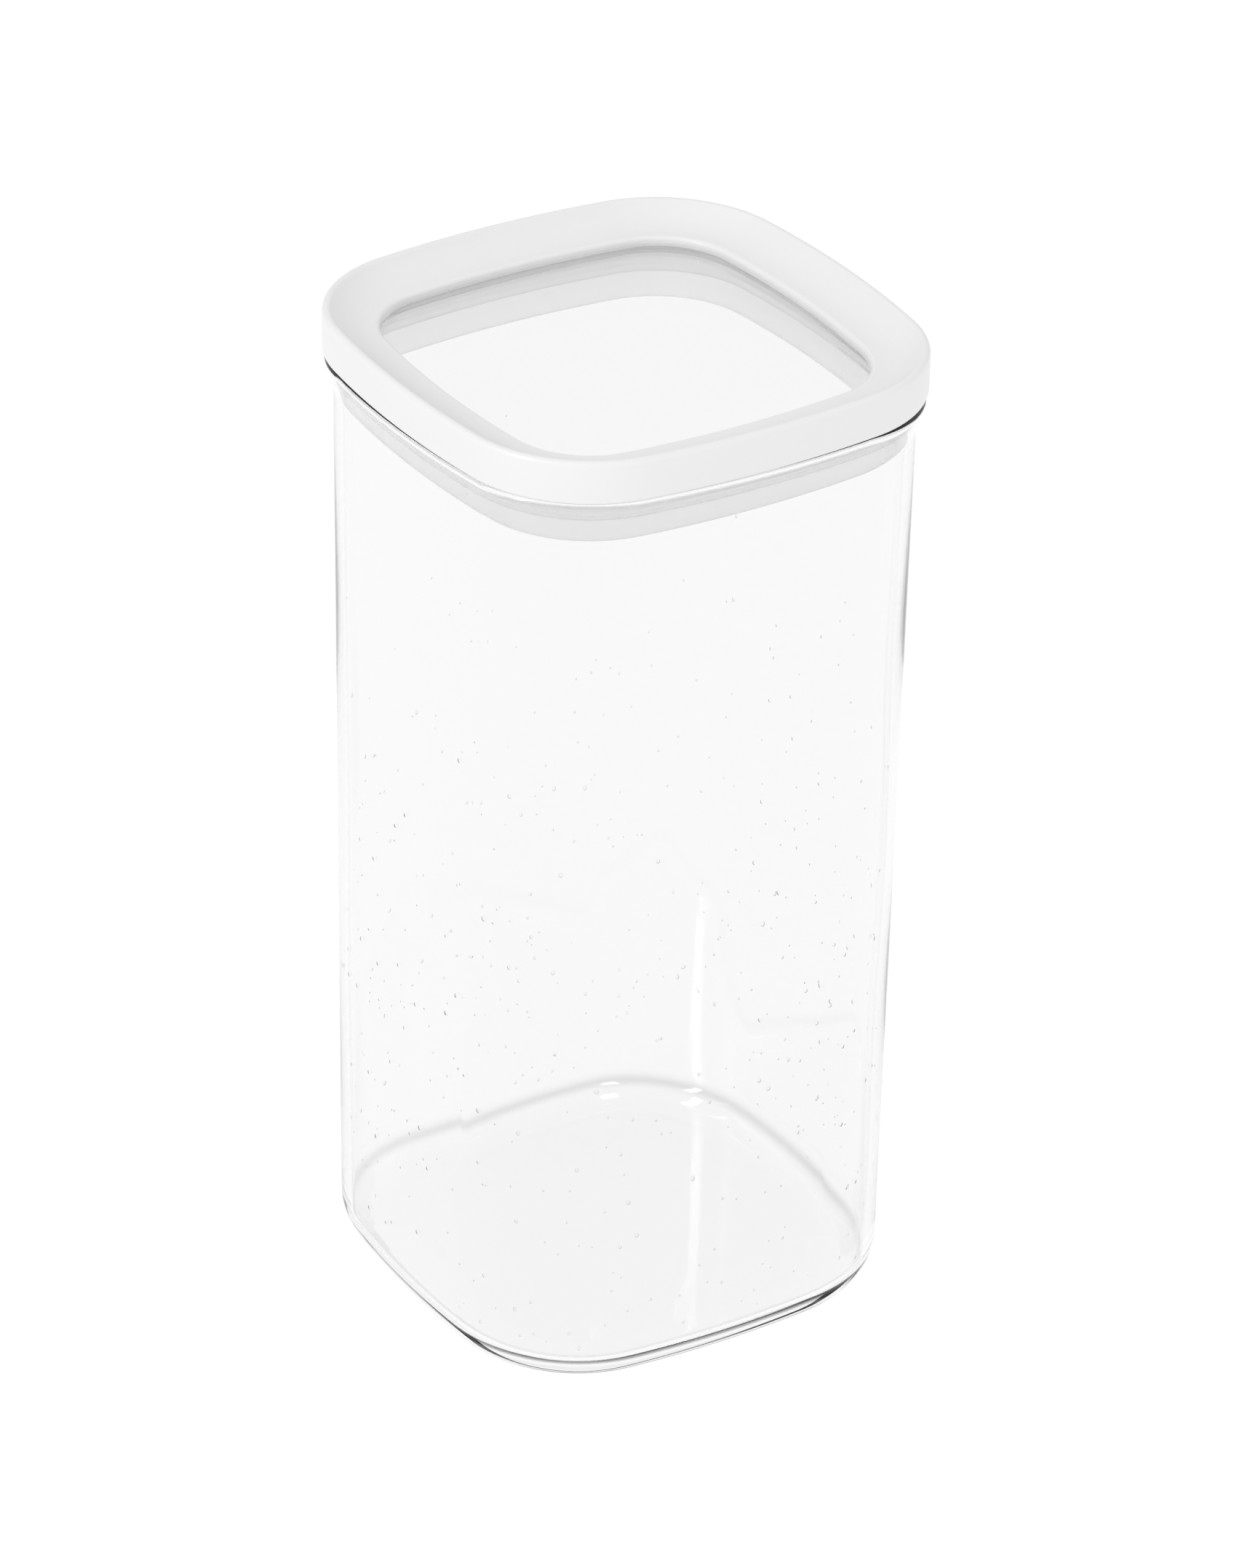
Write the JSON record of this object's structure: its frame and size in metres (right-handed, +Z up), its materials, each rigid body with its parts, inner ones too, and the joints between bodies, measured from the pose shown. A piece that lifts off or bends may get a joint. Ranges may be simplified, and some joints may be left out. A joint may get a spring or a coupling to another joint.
{
  "type": "storage canister",
  "caption": "Tall square glass storage canister with rounded corners and a push-in white lid that has a dished rim, a clear window and a silicone seal.",
  "frame": {"origin": "middle of the flat face that the canister stands on", "axes": "+Z up along the canister's upright symmetry axis; X and Y square to its four sides"},
  "size_m": [0.11, 0.11, 0.2254],
  "materials": {
    "jar_glass": "clear borosilicate glass, fire-polished lip, a few small seed bubbles",
    "frame_plastic": "fine satin white moulded plastic",
    "window_plastic": "clear polished plastic pane",
    "plug_plastic": "smooth white moulded plastic, slightly translucent",
    "seal_silicone": "milky translucent silicone rubber"
  },
  "bodies": {
    "jar": {"glass_jar": "jar_glass"},
    "lid": {"lid_frame": "frame_plastic", "lid_window": "window_plastic", "plug_ring": "plug_plastic", "seal_ring": "seal_silicone"}
  },
  "joints": [
    {"name": "lid_lift", "type": "slide", "parent": "jar", "child": "lid", "axis": [0, 0, 1], "range_m": [0, 0.06]}
  ]
}
